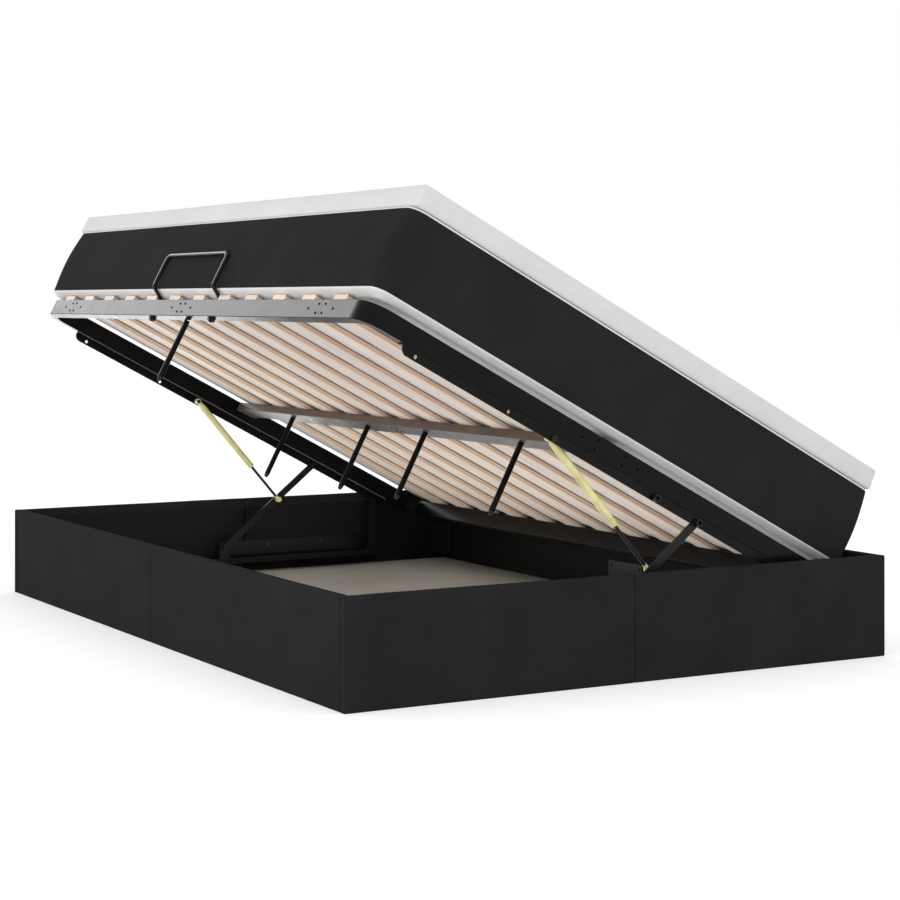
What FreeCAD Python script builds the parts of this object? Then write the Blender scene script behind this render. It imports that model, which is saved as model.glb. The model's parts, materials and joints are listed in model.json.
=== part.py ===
import FreeCAD
import Part
import math
import os

# Storage bed with a slatted platform that lifts along one long side.
# Millimetres. X runs along the bed, Y from the lifted front side to the hinge side, Z up.
# The origin is the middle of the footprint on the floor. The platform is drawn
# lying closed and is then carried to its open stand on the lift arms.

V = FreeCAD.Vector

# Base box
BED_LENGTH = 2050.0
BED_WIDTH = 1433.0
WALL_HEIGHT = 237.0
BOARD_THICKNESS = 18.0
COVER_THICKNESS = 2.0
COVER_EDGE_CHAMFER = 2.5
COVER_RETURN = 25.0
COVER_HEM = 1.0
SEAM_GAP = 0.5
FLOOR_THICKNESS = 18.0
FLOOR_BOARD_COUNT = 3
FLOOR_CLEARANCE = 0.5

# Steel fittings inside the base
FITTING_THICKNESS = 3.0
CORNER_LEG = 45.0
CORNER_HEIGHT = 90.0
CORNER_BOTTOM = 35.0
SEAM_PLATE_LENGTH = 160.0
SEAM_PLATE_HEIGHT = 60.0
SEAM_PLATE_BOTTOM = 50.0
FITTING_EDGE = 14.0
SCREW_HEAD_ACROSS = 9.0
SCREW_HEAD_HEIGHT = 3.0

# Platform frame of steel tube
FRAME_END_SPACE = 33.0
FRAME_SIDE_SPACE = 8.5
FRAME_CENTRE_Y = -2.0
FRAME_BOTTOM = 182.0
TUBE_WIDTH = 25.0
TUBE_HEIGHT = 45.0
TUBE_WALL = 1.5
TUBE_CHAMFER = 1.2
CORNER_RADIUS = 60.0
CORNER_ARM = 210.0
JOINT_GAP = 0.4
SLEEVE_WALL = 1.5
SLEEVE_CLEARANCE = 0.2
SLEEVE_CHAMFER = 0.7
RAIL_SLEEVE_LENGTH = 160.0
SIDE_SLEEVE_LENGTH = 220.0
BAR_SLEEVE_LENGTH = 140.0
RAIL_HOLE_OUTER = 58.0
RAIL_HOLE_INNER = 15.0
SIDE_HOLE_OUTER = 83.0
SIDE_HOLE_INNER = 41.0
HOLE_RISE = 11.0
BAR_HOLE_X = 11.5
BAR_HOLE_Y = 9.3
JOINT_HEAD_ACROSS = 6.0
JOINT_HEAD_HEIGHT = 1.0

# Centre bar, legs and slats
BAR_WIDTH = 55.0
BAR_HEIGHT = 22.0
BAR_WALL = 1.5
BAR_CHAMFER = 1.5
BAR_SHELF = 40.0
LEG_RADIUS = 7.0
LEG_FROM_BAR_FRONT = 22.0
FRONT_LEG_SETBACK = 28.5
LEG_SHIFT_X = 5.0
INNER_LEG_X = 154.0
OUTER_LEG_X = 608.0
FOOT_HEIGHT = 10.0
FOOT_TIP_RADIUS = 4.5
FOOT_SIDES = 12
FOOT_CLEARANCE = 0.3
SLAT_COUNT = 12
SLAT_END_SPACE = 145.0
SLAT_WIDTH = 63.0
SLAT_THICKNESS = 12.5
SLAT_CHAMFER = 1.2
SLAT_SETBACK = 2.0

# Lift mechanism, one set at each end of the bed
OPEN_TILT = 27.72
PIVOT_FROM_BACK = 398.0
OPEN_PIVOT_SHIFT = 76.6
OPEN_PIVOT_Z = 333.9
ARM_LENGTH = 377.0
ARM_WIDTH = 19.0
ARM_THICKNESS = 5.0
REAR_PIVOT_SPAN = 240.0
REAR_PIVOT_DROP = 7.0
REAR_LINK_LENGTH = 146.0
LIFT_RAIL_HEIGHT = 22.0
LIFT_RAIL_THICKNESS = 3.5
LIFT_RAIL_LEDGE = 2.5
LIFT_RAIL_FRONT_SPACE = 112.0
LIFT_RAIL_BACK_SPAN = 270.0
LIFT_RAIL_NOSE = 18.0
PIVOT_ABOVE_EDGE = 9.0
RAIL_HOLE_RADIUS = 4.5
RAIL_FRONT_HOLE_INSET = 38.0
RAIL_MIDDLE_HOLE_SPAN = 566.0
SPARE_BOLT_SPAN = 132.0
PIN_RADIUS = 5.0
PIN_CLEARANCE = 0.05
PIN_CAP_ACROSS = 16.0
PIN_CAP_HEIGHT = 3.0
RING_HEAD_RADIUS = 9.0
RING_HEAD_HEIGHT = 10.0
RING_SOCKET_ACROSS = 11.0
RING_SOCKET_DEPTH = 7.0
BOLT_HEAD_ACROSS = 16.0
BOLT_HEAD_HEIGHT = 6.0
SIDE_PLAY = 0.3
BRACKET_THICKNESS = 3.5
BRACKET_BOTTOM = 46.0
BRACKET_LIP = 18.0
BRACKET_WALL_HEIGHT = 64.0
BRACKET_LUG_RADIUS = 16.0
BRACKET_END_MARGIN = 34.0
BRACKET_SCREWS = 4

# Gas struts
STRUT_SPAN = 437.0
STRUT_PIN_SPAN = 158.0
STRUT_RADIUS = 9.0
STRUT_LENGTH = 264.0
STRUT_NECK_RADIUS = 5.4
STRUT_SHOULDER = 26.0
ROD_RADIUS = 4.0
ROD_CLEARANCE = 0.06
ROD_REST_HOLD = 24.0
ROD_BORE_DEPTH = 150.0
EYE_RADIUS = 8.0
EYE_WIDTH = 12.0
EYE_NECK = 14.0
EYE_PIN_RADIUS = 4.0
EYE_CAP_ACROSS = 11.0
EYE_OFFSET = 5.0
STUD_COLLAR_RADIUS = 5.6

# Mattress handle
HANDLE_RADIUS = 5.0
HANDLE_SIDES = 10
HANDLE_SLAT_SPACE = 4.5
HANDLE_SLAT_STEPS = 1.5
HANDLE_STANDOFF = 21.0
HANDLE_TOP = 115.0
HANDLE_RISE = 6.0
HANDLE_KNEE = 26.0
HANDLE_TAIL = 11.0
HANDLE_KNEE_RADIUS = 9.0
HANDLE_CORNER_RADIUS = 18.0
HANDLE_HOLE_CLEARANCE = 0.1
NUT_ACROSS_CORNERS = 19.6
NUT_HEIGHT = 7.0

# Mattress and topper
MATTRESS_END_OVERHANG = 13.0
MATTRESS_SIDE_OVERHANG = 16.0
MATTRESS_SHIFT_Y = 10.0
MATTRESS_HEIGHT = 206.0
MATTRESS_CORNER = 34.0
MATTRESS_HEM = 12.0
MATTRESS_HEM_INSET = 28.0
MATTRESS_BULGE = 7.0
MATTRESS_BULGE_STEPS = 4
MATTRESS_SHOULDER = 8.0
TOPPER_END_OVERHANG = 4.0
TOPPER_SIDE_INSET = 4.0
TOPPER_SHIFT_Y = 7.0
TOPPER_HEIGHT = 48.0
TOPPER_CORNER = 10.0
TOPPER_EDGE = 5.0
SOFT_CLEARANCE = 0.4

# Values that follow from the sizes above
WALL = BOARD_THICKNESS + 2.0 * COVER_THICKNESS
HALF_LENGTH = BED_LENGTH / 2.0
HALF_WIDTH = BED_WIDTH / 2.0
INNER_X = HALF_LENGTH - WALL + COVER_THICKNESS
INNER_Y = HALF_WIDTH - WALL + COVER_THICKNESS

FRAME_HALF_X = HALF_LENGTH - WALL - FRAME_END_SPACE
FRAME_HALF_Y = HALF_WIDTH - WALL - FRAME_SIDE_SPACE
FRAME_FRONT = FRAME_CENTRE_Y - FRAME_HALF_Y
FRAME_BACK = FRAME_CENTRE_Y + FRAME_HALF_Y
FRAME_TOP = FRAME_BOTTOM + TUBE_HEIGHT
FRAME_MID_Z = FRAME_BOTTOM + TUBE_HEIGHT / 2.0
SIDE_AXIS_X = FRAME_HALF_X - TUBE_WIDTH / 2.0
FRONT_AXIS_Y = FRAME_FRONT + TUBE_WIDTH / 2.0
BACK_AXIS_Y = FRAME_BACK - TUBE_WIDTH / 2.0
RAIL_JOINT_X = FRAME_HALF_X - CORNER_ARM
BAR_BOTTOM = FRAME_TOP - BAR_HEIGHT
BAR_MID_Z = FRAME_TOP - BAR_HEIGHT / 2.0
BAR_END_X = FRAME_HALF_X - TUBE_WIDTH - FITTING_THICKNESS
LEG_Y = FRAME_CENTRE_Y - BAR_WIDTH / 2.0 + LEG_FROM_BAR_FRONT
FOOT_BOTTOM = FLOOR_THICKNESS + FOOT_CLEARANCE
SLAT_TOP = FRAME_TOP + SLAT_THICKNESS
SLAT_PITCH = 2.0 * (FRAME_HALF_X - SLAT_END_SPACE) / (SLAT_COUNT - 1)
HANDLE_HALF_SPAN = HANDLE_SLAT_STEPS * SLAT_PITCH - SLAT_WIDTH / 2.0 - HANDLE_RADIUS - HANDLE_SLAT_SPACE
MATTRESS_LENGTH = 2.0 * (FRAME_HALF_X + MATTRESS_END_OVERHANG)
MATTRESS_WIDTH = 2.0 * (FRAME_HALF_Y + MATTRESS_SIDE_OVERHANG)
TOPPER_LENGTH = MATTRESS_LENGTH + 2.0 * TOPPER_END_OVERHANG
TOPPER_WIDTH = MATTRESS_WIDTH - 2.0 * TOPPER_SIDE_INSET
MATTRESS_BOTTOM = SLAT_TOP + SOFT_CLEARANCE
TOPPER_BOTTOM = MATTRESS_BOTTOM + MATTRESS_HEIGHT + SOFT_CLEARANCE

LIFT_RAIL_BOTTOM = FRAME_BOTTOM - LIFT_RAIL_HEIGHT
CLOSED_PIVOT_Y = FRAME_BACK - PIVOT_FROM_BACK
OPEN_PIVOT_Y = CLOSED_PIVOT_Y - OPEN_PIVOT_SHIFT
CLOSED_PIVOT_Z = LIFT_RAIL_BOTTOM + PIVOT_ABOVE_EDGE
FLANGE_OUT_X = FRAME_HALF_X
FLANGE_IN_X = FLANGE_OUT_X - LIFT_RAIL_THICKNESS
ARM_OUT_X = FLANGE_IN_X - SIDE_PLAY
ARM_IN_X = ARM_OUT_X - ARM_THICKNESS
EYE_OUT_X = ARM_IN_X - EYE_OFFSET
EYE_MID_X = EYE_OUT_X - EYE_WIDTH / 2.0
EYE_IN_X = EYE_OUT_X - EYE_WIDTH


def ground_pivot(open_end, closed_end, length):
    """Base pivot of a link whose upper end goes from open_end to closed_end."""
    chord = closed_end - open_end
    away = V(0, chord.z, -chord.y).normalize()
    return (open_end + closed_end) * 0.5 + away * math.sqrt(length ** 2 - (chord.Length / 2.0) ** 2)


def opened_point(closed):
    """Where a point of the closed platform stands once the platform is open."""
    turn = FreeCAD.Rotation(V(1, 0, 0), -OPEN_TILT)
    return OPEN_PIVOT + turn.multVec(closed - CLOSED_PIVOT)


CLOSED_PIVOT = V(0, CLOSED_PIVOT_Y, CLOSED_PIVOT_Z)
OPEN_PIVOT = V(0, OPEN_PIVOT_Y, OPEN_PIVOT_Z)
ARM_BASE = ground_pivot(OPEN_PIVOT, CLOSED_PIVOT, ARM_LENGTH)
REAR_CLOSED = CLOSED_PIVOT + V(0, REAR_PIVOT_SPAN, -REAR_PIVOT_DROP)
REAR_OPEN = opened_point(REAR_CLOSED)
REAR_BASE = ground_pivot(REAR_OPEN, REAR_CLOSED, REAR_LINK_LENGTH)
STRUT_TOP_CLOSED = CLOSED_PIVOT - V(0, STRUT_SPAN, 0)
STRUT_TOP_OPEN = opened_point(STRUT_TOP_CLOSED)
STRUT_PIN_OPEN = OPEN_PIVOT + (ARM_BASE - OPEN_PIVOT) * (STRUT_PIN_SPAN / ARM_LENGTH)
STRUT_LINE = STRUT_PIN_OPEN - STRUT_TOP_OPEN
STRUT_TURN = math.degrees(math.atan2(-STRUT_LINE.y, STRUT_LINE.z))

os.makedirs("parts", exist_ok=True)


def export(name, shape):
    shape.exportStep("parts/" + name + ".step")


def export_open(name, shape):
    """Write a piece drawn on the closed platform at its open stand."""
    opened = shape.copy()
    opened.translate(OPEN_PIVOT - CLOSED_PIVOT)
    opened.rotate(OPEN_PIVOT, V(1, 0, 0), -OPEN_TILT)
    export(name, opened)


def box(low, high):
    size = high - low
    return Part.makeBox(size.x, size.y, size.z, low)


def rod(start, end, radius):
    return Part.makeCylinder(radius, (end - start).Length, start, end - start)


def cross_rod(centre, x_from, x_to, radius):
    """Cylinder along X at a point of the end plane."""
    return rod(V(x_from, centre.y, centre.z), V(x_to, centre.y, centre.z), radius)


def mirror_x(shape):
    return shape.mirror(V(0, 0, 0), V(1, 0, 0))


def mirror_y(shape, middle=0.0):
    return shape.mirror(V(0, middle, 0), V(0, 1, 0))


def both_ends(shape):
    return [shape, mirror_x(shape)]


def join(shapes):
    return shapes[0].multiFuse(shapes[1:]).removeSplitter()


def outline(width, height, radius):
    """Centred outline in the XY plane with round corners."""
    x = width / 2.0
    y = height / 2.0
    inset = radius * (1.0 - math.sqrt(0.5))
    edges = []
    last = None
    for sx, sy in ((1, 1), (-1, 1), (-1, -1), (1, -1)):
        on_side = V(sx * x, sy * (y - radius), 0)
        on_end = V(sx * (x - radius), sy * y, 0)
        middle = V(sx * (x - inset), sy * (y - inset), 0)
        first, second = (on_side, on_end) if sx * sy > 0 else (on_end, on_side)
        if last:
            edges.append(Part.LineSegment(last, first).toShape())
        else:
            opening = first
        edges.append(Part.Arc(first, middle, second).toShape())
        last = second
    edges.append(Part.LineSegment(last, opening).toShape())
    return Part.Wire(edges)


def chamfered(width, height, chamfer):
    """Centred rectangle in the XY plane with its corners cut."""
    x = width / 2.0
    y = height / 2.0
    points = []
    for sx, sy in ((1, 1), (-1, 1), (-1, -1), (1, -1)):
        on_side = V(sx * x, sy * (y - chamfer), 0)
        on_end = V(sx * (x - chamfer), sy * y, 0)
        points += [on_side, on_end] if sx * sy > 0 else [on_end, on_side]
    return Part.Face(Part.makePolygon(points + points[:1]))


def tube_section(width, height, wall, chamfer):
    hollow = Part.makePlane(width - 2.0 * wall, height - 2.0 * wall, V(wall - width / 2.0, wall - height / 2.0, 0))
    return chamfered(width, height, chamfer).cut(hollow).Faces[0]


def facet_ring(centre, sides, radius):
    """Level outline with equal sides, whose corners lie on a circle."""
    turns = [2.0 * math.pi * step / sides for step in range(sides + 1)]
    return Part.makePolygon([centre + V(math.cos(turn), math.sin(turn), 0) * radius for turn in turns])


def hexagon(seat, outward, across, height):
    """Six-sided head on a seat, measured across its corners."""
    head = Part.Face(facet_ring(V(0, 0, 0), 6, across / 2.0)).extrude(V(0, 0, height))
    head.Placement = FreeCAD.Placement(seat, FreeCAD.Rotation(V(0, 0, 1), outward))
    return head


def section_across_y(section, centre):
    face = section.copy()
    face.rotate(V(0, 0, 0), V(1, 0, 0), 90)
    face.translate(centre)
    return face


def tube_along_y(section, start, end):
    return section_across_y(section, start).extrude(end - start)


def tube_along_x(section, start, end):
    face = section_across_y(section, V(0, 0, 0))
    face.rotate(V(0, 0, 0), V(0, 0, 1), 90)
    face.translate(start)
    return face.extrude(end - start)


# Fittings of the base, with the seat and outward direction of every screw head
seats = []
corner_brackets = []
seam_plates = []
corner_angle = join([
    box(V(INNER_X - CORNER_LEG, INNER_Y - FITTING_THICKNESS, CORNER_BOTTOM),
        V(INNER_X, INNER_Y, CORNER_BOTTOM + CORNER_HEIGHT)),
    box(V(INNER_X - FITTING_THICKNESS, INNER_Y - CORNER_LEG, CORNER_BOTTOM),
        V(INNER_X, INNER_Y, CORNER_BOTTOM + CORNER_HEIGHT)),
])
for end in both_ends(corner_angle):
    corner_brackets += [end, mirror_y(end)]
for sx in (-1, 1):
    for sy in (-1, 1):
        for z in (CORNER_BOTTOM + FITTING_EDGE, CORNER_BOTTOM + CORNER_HEIGHT - FITTING_EDGE):
            on_long = V(sx * (INNER_X - CORNER_LEG + FITTING_EDGE), sy * (INNER_Y - FITTING_THICKNESS), z)
            on_end = V(sx * (INNER_X - FITTING_THICKNESS), sy * (INNER_Y - CORNER_LEG + FITTING_EDGE), z)
            seats += [(on_long, V(0, -sy, 0)), (on_end, V(-sx, 0, 0))]

plate_top = SEAM_PLATE_BOTTOM + SEAM_PLATE_HEIGHT
long_plate = box(V(-SEAM_PLATE_LENGTH / 2.0, INNER_Y - FITTING_THICKNESS, SEAM_PLATE_BOTTOM),
                 V(SEAM_PLATE_LENGTH / 2.0, INNER_Y, plate_top))
seam_plates = [long_plate, mirror_y(long_plate)]
for sy in (-1, 1):
    for offset in (FITTING_EDGE - SEAM_PLATE_LENGTH / 2.0, SEAM_PLATE_LENGTH / 2.0 - FITTING_EDGE):
        for z in (SEAM_PLATE_BOTTOM + FITTING_EDGE, plate_top - FITTING_EDGE):
            seats.append((V(offset, sy * (INNER_Y - FITTING_THICKNESS), z), V(0, -sy, 0)))

# Lift bracket: a channel on the end wall, which also spans the end wall's seam
bracket_in_x = FLANGE_IN_X
bracket_lip_x = FLANGE_IN_X + BRACKET_THICKNESS
bracket_front = ARM_BASE.y - BRACKET_END_MARGIN
bracket_back = REAR_BASE.y + BRACKET_END_MARGIN
bracket_wall_x = INNER_X - BRACKET_THICKNESS
lift_bracket = [
    box(V(bracket_wall_x, bracket_front, BRACKET_BOTTOM),
        V(INNER_X, bracket_back, BRACKET_BOTTOM + BRACKET_WALL_HEIGHT)),
    box(V(bracket_in_x, bracket_front, BRACKET_BOTTOM),
        V(INNER_X, bracket_back, BRACKET_BOTTOM + BRACKET_THICKNESS)),
    box(V(bracket_in_x, bracket_front, BRACKET_BOTTOM),
        V(bracket_lip_x, bracket_back, BRACKET_BOTTOM + BRACKET_LIP)),
]
for pivot in (ARM_BASE, REAR_BASE):
    lift_bracket.append(box(V(bracket_in_x, pivot.y - BRACKET_LUG_RADIUS, BRACKET_BOTTOM),
                            V(bracket_lip_x, pivot.y + BRACKET_LUG_RADIUS, pivot.z)))
    lift_bracket.append(cross_rod(pivot, bracket_in_x, bracket_lip_x, BRACKET_LUG_RADIUS))
lift_bracket = join(lift_bracket)
bracket_screw_z = BRACKET_BOTTOM + BRACKET_WALL_HEIGHT - FITTING_EDGE
bracket_pitch = (bracket_back - bracket_front - 2.0 * FITTING_EDGE) / (BRACKET_SCREWS - 1)
for sx in (-1, 1):
    for index in range(BRACKET_SCREWS):
        y = bracket_front + FITTING_EDGE + index * bracket_pitch
        seats.append((V(sx * bracket_wall_x, y, bracket_screw_z), V(-sx, 0, 0)))

export("corner_brackets", Part.makeCompound(corner_brackets))
export("seam_plates", Part.makeCompound(seam_plates))
export("base_screws", Part.makeCompound([hexagon(seat, outward, SCREW_HEAD_ACROSS, SCREW_HEAD_HEIGHT)
                                         for seat, outward in seats]))
export("lift_bracket_right", lift_bracket)
export("lift_bracket_left", mirror_x(lift_bracket))


def capped_pin(pivot, x_seat, x_cap, radius, cap_across):
    """Pin that stands inward from a seat and ends in a six-sided cap."""
    cap = hexagon(V(x_cap, pivot.y, pivot.z), V(-1, 0, 0), cap_across, PIN_CAP_HEIGHT)
    return join([cross_rod(pivot, x_cap, x_seat, radius), cap])


arm_cap_x = ARM_IN_X - SIDE_PLAY
base_pins = []
for pivot in (ARM_BASE, REAR_BASE):
    base_pins += both_ends(capped_pin(pivot, bracket_in_x, arm_cap_x, PIN_RADIUS, PIN_CAP_ACROSS))
export("base_pivot_pins", Part.makeCompound(base_pins))


# Walls: half a wall is drawn along X with its outer face at y = 0
def half_board(length):
    return box(V(SEAM_GAP / 2.0 + COVER_THICKNESS, COVER_THICKNESS, 0),
               V(length - COVER_THICKNESS, COVER_THICKNESS + BOARD_THICKNESS, WALL_HEIGHT - COVER_THICKNESS))


def half_cover(length):
    block = box(V(SEAM_GAP / 2.0, 0, COVER_HEM), V(length, WALL, WALL_HEIGHT))
    soft_edges = []
    for edge in block.Edges:
        bounds = edge.BoundBox
        along_top = bounds.ZMin > WALL_HEIGHT - COVER_EDGE_CHAMFER
        at_corner = bounds.XMin > length - COVER_EDGE_CHAMFER and bounds.YMax < COVER_EDGE_CHAMFER
        if along_top or at_corner:
            soft_edges.append(edge)
    skin = block.makeChamfer(COVER_EDGE_CHAMFER, soft_edges)
    below_return = box(V(SEAM_GAP / 2.0, WALL - COVER_THICKNESS, COVER_HEM),
                       V(length, WALL, WALL_HEIGHT - COVER_RETURN))
    return skin.cut([half_board(length), below_return])


def as_long_wall(half):
    wall = half.copy()
    wall.translate(V(0, -HALF_WIDTH, 0))
    return wall


def as_end_wall(half):
    wall = half.copy()
    wall.rotate(V(0, 0, 0), V(0, 0, 1), 90)
    wall.translate(V(HALF_LENGTH, 0, 0))
    return wall


long_half = HALF_LENGTH - WALL - SEAM_GAP
front_board = as_long_wall(half_board(long_half))
right_board = as_end_wall(half_board(HALF_WIDTH))
boards = {
    "front_board_right": front_board,
    "front_board_left": mirror_x(front_board),
    "back_board_right": mirror_y(front_board),
    "back_board_left": mirror_x(mirror_y(front_board)),
    "right_board_back": right_board,
    "right_board_front": mirror_y(right_board),
    "left_board_back": mirror_x(right_board),
    "left_board_front": mirror_x(mirror_y(right_board)),
}
for name, board in boards.items():
    export(name, board)

front_cover = both_ends(as_long_wall(half_cover(long_half)))
right_half = as_end_wall(half_cover(HALF_WIDTH))
right_cover = [right_half, mirror_y(right_half)]
export("front_cover", Part.makeCompound(front_cover))
export("back_cover", Part.makeCompound([mirror_y(half) for half in front_cover]))
export("right_cover", Part.makeCompound(right_cover))
export("left_cover", Part.makeCompound([mirror_x(half) for half in right_cover]))

floor_half_x = INNER_X - FLOOR_CLEARANCE
floor_half_y = INNER_Y - FLOOR_CLEARANCE
floor_pitch = 2.0 * floor_half_x / FLOOR_BOARD_COUNT
floor_boards = []
for index in range(FLOOR_BOARD_COUNT):
    left = index * floor_pitch - floor_half_x
    floor_boards.append(box(V(left + SEAM_GAP / 2.0, -floor_half_y, 0),
                            V(left + floor_pitch - SEAM_GAP / 2.0, floor_half_y, FLOOR_THICKNESS)))
export("floor_boards", Part.makeCompound(floor_boards))


# Platform frame: every joint has six screws into the sleeve inside it
def six_pattern(outer, inner):
    pattern = [(-outer, 0.0), (outer, 0.0)]
    for along in (-inner, inner):
        pattern += [(along, -HOLE_RISE), (along, HOLE_RISE)]
    return pattern


joint_seats = []
for joint_x in (-RAIL_JOINT_X, 0.0, RAIL_JOINT_X):
    for along, rise in six_pattern(RAIL_HOLE_OUTER, RAIL_HOLE_INNER):
        joint_seats.append((V(joint_x + along, FRAME_FRONT, FRAME_MID_Z + rise), V(0, -1, 0)))
        joint_seats.append((V(joint_x + along, FRAME_BACK, FRAME_MID_Z + rise), V(0, 1, 0)))
for sx in (-1, 1):
    for along, rise in six_pattern(SIDE_HOLE_OUTER, SIDE_HOLE_INNER):
        joint_seats.append((V(sx * FRAME_HALF_X, FRAME_CENTRE_Y + along, FRAME_MID_Z + rise), V(sx, 0, 0)))
for along in (-BAR_HOLE_X, BAR_HOLE_X):
    for across in (-BAR_HOLE_Y, BAR_HOLE_Y):
        joint_seats.append((V(along, FRAME_CENTRE_Y + across, BAR_BOTTOM), V(0, 0, -1)))
export_open("joint_screws", Part.makeCompound([hexagon(seat, outward, JOINT_HEAD_ACROSS, JOINT_HEAD_HEIGHT)
                                               for seat, outward in joint_seats]))

tube = tube_section(TUBE_WIDTH, TUBE_HEIGHT, TUBE_WALL, TUBE_CHAMFER)
bend_start = FRAME_FRONT + CORNER_RADIUS
bend_axis = V(FRAME_HALF_X - CORNER_RADIUS, bend_start, FRAME_MID_Z)
bend = section_across_y(tube, V(SIDE_AXIS_X, bend_start, FRAME_MID_Z)).revolve(bend_axis, V(0, 0, 1), -90)
side_leg = tube_along_y(tube, V(SIDE_AXIS_X, bend_start, FRAME_MID_Z),
                        V(SIDE_AXIS_X, FRAME_CENTRE_Y - JOINT_GAP / 2.0, FRAME_MID_Z))
front_leg = tube_along_x(tube, V(RAIL_JOINT_X + JOINT_GAP / 2.0, FRONT_AXIS_Y, FRAME_MID_Z),
                         V(FRAME_HALF_X - CORNER_RADIUS, FRONT_AXIS_Y, FRAME_MID_Z))
frame_corner = join([side_leg, bend, front_leg])
frame_corners = {
    "frame_corner_front_right": frame_corner,
    "frame_corner_front_left": mirror_x(frame_corner),
    "frame_corner_rear_right": mirror_y(frame_corner, FRAME_CENTRE_Y),
    "frame_corner_rear_left": mirror_x(mirror_y(frame_corner, FRAME_CENTRE_Y)),
}
for name, corner in frame_corners.items():
    export_open(name, corner)

half_rail = tube_along_x(tube, V(JOINT_GAP / 2.0, FRONT_AXIS_Y, FRAME_MID_Z),
                         V(RAIL_JOINT_X - JOINT_GAP / 2.0, FRONT_AXIS_Y, FRAME_MID_Z))
handle_hole = rod(V(HANDLE_HALF_SPAN, FRONT_AXIS_Y, FRAME_BOTTOM), V(HANDLE_HALF_SPAN, FRONT_AXIS_Y, FRAME_TOP),
                  HANDLE_RADIUS + HANDLE_HOLE_CLEARANCE)
front_rail = half_rail.cut(handle_hole)
rear_rail = mirror_y(half_rail, FRAME_CENTRE_Y)
export_open("front_rail_right", front_rail)
export_open("front_rail_left", mirror_x(front_rail))
export_open("rear_rail_right", rear_rail)
export_open("rear_rail_left", mirror_x(rear_rail))

sleeve_inset = 2.0 * (TUBE_WALL + SLEEVE_CLEARANCE)
sleeve = tube_section(TUBE_WIDTH - sleeve_inset, TUBE_HEIGHT - sleeve_inset, SLEEVE_WALL, SLEEVE_CHAMFER)
joint_sleeves = []
for joint_x in (-RAIL_JOINT_X, 0.0, RAIL_JOINT_X):
    for axis_y in (FRONT_AXIS_Y, BACK_AXIS_Y):
        joint_sleeves.append(tube_along_x(sleeve, V(joint_x - RAIL_SLEEVE_LENGTH / 2.0, axis_y, FRAME_MID_Z),
                                         V(joint_x + RAIL_SLEEVE_LENGTH / 2.0, axis_y, FRAME_MID_Z)))
for axis_x in (-SIDE_AXIS_X, SIDE_AXIS_X):
    joint_sleeves.append(tube_along_y(sleeve, V(axis_x, FRAME_CENTRE_Y - SIDE_SLEEVE_LENGTH / 2.0, FRAME_MID_Z),
                                     V(axis_x, FRAME_CENTRE_Y + SIDE_SLEEVE_LENGTH / 2.0, FRAME_MID_Z)))

# Centre bar
bar = tube_section(BAR_WIDTH, BAR_HEIGHT, BAR_WALL, BAR_CHAMFER)
half_bar = tube_along_x(bar, V(JOINT_GAP / 2.0, FRAME_CENTRE_Y, BAR_MID_Z), V(BAR_END_X, FRAME_CENTRE_Y, BAR_MID_Z))
export_open("centre_bar_right", half_bar)
export_open("centre_bar_left", mirror_x(half_bar))
bar_inset = 2.0 * (BAR_WALL + SLEEVE_CLEARANCE)
bar_sleeve = tube_section(BAR_WIDTH - bar_inset, BAR_HEIGHT - bar_inset, SLEEVE_WALL, SLEEVE_CHAMFER)
joint_sleeves.append(tube_along_x(bar_sleeve, V(-BAR_SLEEVE_LENGTH / 2.0, FRAME_CENTRE_Y, BAR_MID_Z),
                                  V(BAR_SLEEVE_LENGTH / 2.0, FRAME_CENTRE_Y, BAR_MID_Z)))
export_open("joint_sleeves", Part.makeCompound(joint_sleeves))
bar_front = FRAME_CENTRE_Y - BAR_WIDTH / 2.0
bar_back = FRAME_CENTRE_Y + BAR_WIDTH / 2.0
bar_bracket = join([
    box(V(BAR_END_X, bar_front, BAR_BOTTOM - FITTING_THICKNESS), V(BAR_END_X + FITTING_THICKNESS, bar_back, FRAME_TOP)),
    box(V(BAR_END_X - BAR_SHELF, bar_front, BAR_BOTTOM - FITTING_THICKNESS),
        V(BAR_END_X + FITTING_THICKNESS, bar_back, BAR_BOTTOM)),
])
export_open("centre_bar_brackets", Part.makeCompound(both_ends(bar_bracket)))

# Support legs under the bar and under the middle of the front rail
leg_tops = [V(x + LEG_SHIFT_X, LEG_Y, BAR_BOTTOM) for x in (-OUTER_LEG_X, -INNER_LEG_X, INNER_LEG_X, OUTER_LEG_X)]
leg_tops.append(V(LEG_SHIFT_X, FRAME_FRONT + FRONT_LEG_SETBACK, FRAME_BOTTOM))
legs = []
feet = []
for top in leg_tops:
    sole = V(top.x, top.y, FOOT_BOTTOM)
    seat = sole + V(0, 0, FOOT_HEIGHT)
    legs.append(rod(seat, top, LEG_RADIUS))
    feet.append(Part.makeLoft([facet_ring(sole, FOOT_SIDES, FOOT_TIP_RADIUS),
                               facet_ring(seat, FOOT_SIDES, LEG_RADIUS)], True, True))
export_open("support_legs", Part.makeCompound(legs))
export_open("leg_feet", Part.makeCompound(feet))

# Slats
for index in range(SLAT_COUNT):
    x = (index - (SLAT_COUNT - 1) / 2.0) * SLAT_PITCH
    slat = box(V(x - SLAT_WIDTH / 2.0, FRAME_FRONT + SLAT_SETBACK, FRAME_TOP),
               V(x + SLAT_WIDTH / 2.0, FRAME_BACK - SLAT_SETBACK, SLAT_TOP))
    long_edges = [edge for edge in slat.Edges if edge.BoundBox.YLength > SLAT_WIDTH]
    export_open("slat_%02d" % (index + 1), slat.makeChamfer(SLAT_CHAMFER, long_edges))


# Lift rails under the frame's ends
def rail_point(span):
    """A point on the rail's pivot line, at a distance in front of the arm pivot."""
    return CLOSED_PIVOT - V(0, span, 0)


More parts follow.
